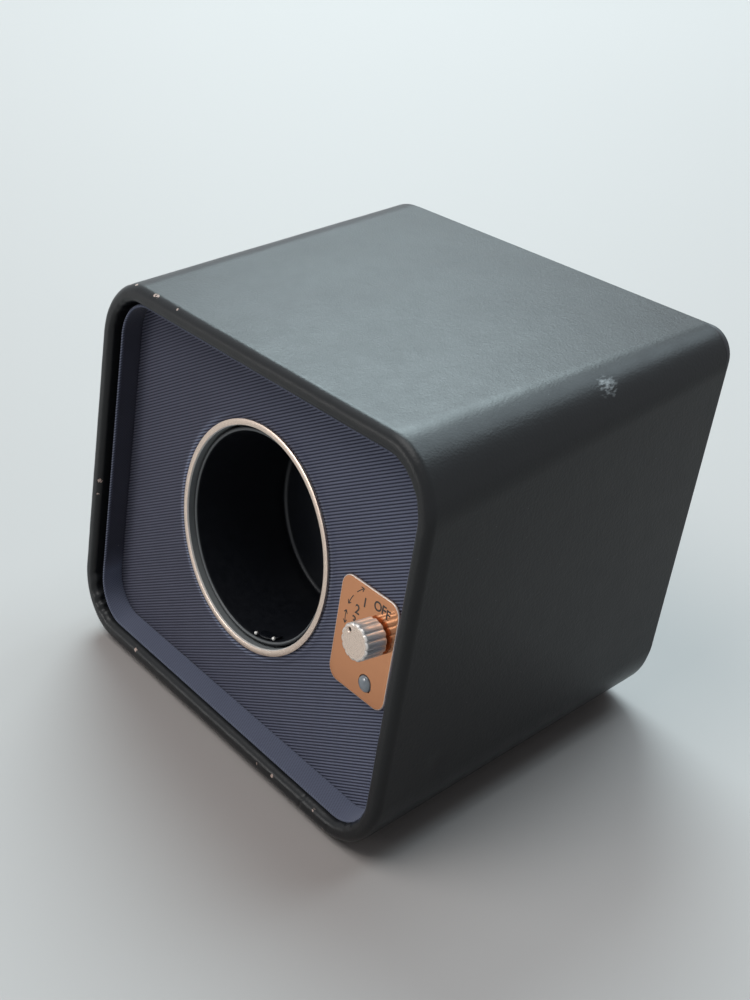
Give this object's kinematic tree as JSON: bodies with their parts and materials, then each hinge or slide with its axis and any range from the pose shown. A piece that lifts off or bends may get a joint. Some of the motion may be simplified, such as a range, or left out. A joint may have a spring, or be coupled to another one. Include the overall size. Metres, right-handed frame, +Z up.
{
  "type": "watch winder box",
  "caption": "Leather-covered box that leans back, with a motor-driven drum behind a metal ring that turns a watch, and a selector knob and pilot light on a small plate.",
  "frame": {"origin": "on the ground, under the middle of the box", "axes": "+Z up, +X to the right of someone facing the drum, +Y from the front to the back"},
  "size_m": [0.165, 0.145, 0.1298],
  "materials": {
    "black_leather": "soft-sheen black leatherette",
    "case_board": "plain fibreboard",
    "grey_fabric": "diagonal ribbed twill",
    "satin_nickel": "satin",
    "copper_plate": "polished, warm tint",
    "chrome": "bright plated",
    "black_plastic": "moulded",
    "clear_lens": "clear dome",
    "white_acetal": "moulded gear plastic",
    "steel": "bright turned steel",
    "bronze": "sintered bearing metal",
    "zinc_plate": "zinc plated",
    "green_board": "solder-masked board",
    "felt": "pressed felt",
    "red_lead": "insulated lead"
  },
  "bodies": {
    "case": {"bearing_bush": "bronze", "bezel_ring": "satin_nickel", "board_capacitor": "black_plastic", "board_post_lower": "black_plastic", "board_post_upper": "black_plastic", "board_screw_lower": "steel", "board_screw_upper": "steel", "case_sleeve": "case_board", "control_board": "green_board", "control_plate": "copper_plate", "drive_plate": "zinc_plate", "driver_chip": "black_plastic", "face_panel": "grey_fabric", "foot_front_left": "felt", "foot_front_right": "felt", "foot_rear_left": "felt", "foot_rear_right": "felt", "front_liner": "grey_fabric", "gearbox": "black_plastic", "inlet_lead": "red_lead", "inlet_nut": "zinc_plate", "leather_wrap": "black_leather", "motor_can": "zinc_plate", "motor_lead": "red_lead", "motor_screw_1": "steel", "motor_screw_2": "steel", "pillar_1": "zinc_plate", "pillar_2": "zinc_plate", "pillar_3": "zinc_plate", "pillar_4": "zinc_plate", "pillar_screw_1": "steel", "pillar_screw_2": "steel", "pillar_screw_3": "steel", "pillar_screw_4": "steel", "power_inlet": "black_plastic", "power_light": "clear_lens", "rear_panel": "black_leather", "rotary_switch": "black_plastic"},
    "drum": {"drum": "black_plastic", "drum_disc": "black_plastic", "cuff_catch": "satin_nickel", "drum_gear": "white_acetal", "gear_screw_1": "steel", "gear_screw_2": "steel", "gear_screw_3": "steel", "drum_spindle": "steel", "spindle_clip": "steel", "spindle_washer": "steel"},
    "pinion": {"motor_pinion": "white_acetal", "motor_shaft": "steel"},
    "knob": {"selector_knob": "chrome", "switch_shaft": "steel"}
  },
  "joints": [
    {"name": "drum_spin", "type": "hinge", "parent": "case", "child": "drum", "pos_m": [0, -0.04972, 0.06669], "axis": [0, 0.9799, -0.1994], "continuous": true},
    {"name": "pinion_spin", "type": "hinge", "parent": "case", "child": "pinion", "pos_m": [-0.0375, -0.04972, 0.06669], "axis": [0, 0.9799, -0.1994], "continuous": true},
    {"name": "knob_turn", "type": "hinge", "parent": "case", "child": "knob", "pos_m": [0.0614, -0.05009, 0.06488], "axis": [0, -0.9799, 0.1994], "range_deg": [-30, 60]}
  ],
  "couplings": [
    {"joint": "pinion_spin", "follows": "drum_spin", "ratio": -4}
  ]
}
